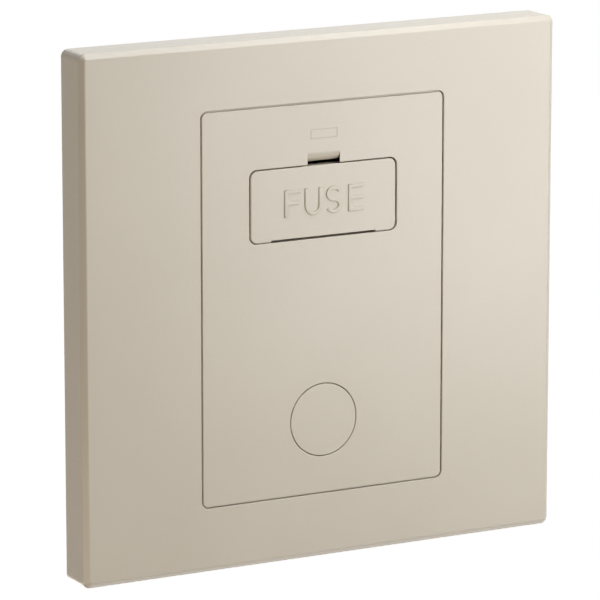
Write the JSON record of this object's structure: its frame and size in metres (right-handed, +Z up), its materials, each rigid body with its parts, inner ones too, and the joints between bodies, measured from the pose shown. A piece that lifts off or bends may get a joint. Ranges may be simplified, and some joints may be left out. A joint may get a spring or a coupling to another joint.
{
  "type": "fused spur unit",
  "caption": "Square screwless wall plate with a flush panel, a tilt-out fuse carrier and a blanked flex outlet, on a terminal base that screws to a wall box.",
  "frame": {"origin": "centre of the plate, on the wall plane", "axes": "+Y into the wall, so the front faces -Y; +X to the right and +Z up"},
  "size_m": [0.086, 0.0288, 0.086],
  "materials": {
    "champagne_plastic": "satin",
    "frame_plastic": "fine grain",
    "base_plastic": "fine grain",
    "brass": "milled and stamped",
    "zinc_steel": "zinc plated",
    "nickel": "nickel plated",
    "fuse_ceramic": "matt white"
  },
  "bodies": {
    "unit": {"base_housing": "base_plastic", "centre_panel": "champagne_plastic", "cord_grip_bar": "base_plastic", "cord_grip_screws": "zinc_steel", "earth_terminal": "brass", "fixing_screws": "zinc_steel", "flex_outlet_blank": "champagne_plastic", "front_plate": "champagne_plastic", "live_load_clip": "brass", "live_load_terminal": "brass", "live_supply_clip": "brass", "live_supply_terminal": "brass", "neutral_link": "brass", "neutral_load_terminal": "brass", "neutral_supply_terminal": "brass", "rear_cover": "base_plastic", "rear_cover_screws": "zinc_steel", "support_frame": "frame_plastic", "terminal_screws": "zinc_steel"},
    "carrier": {"fuse_carrier": "champagne_plastic", "fuse_tube": "fuse_ceramic", "fuse_end_caps": "nickel"}
  },
  "joints": [
    {"name": "carrier_tilt", "type": "hinge", "parent": "unit", "child": "carrier", "pos_m": [0, -0.006, 0.01167], "axis": [1, 0, 0], "range_deg": [0, 60]}
  ]
}
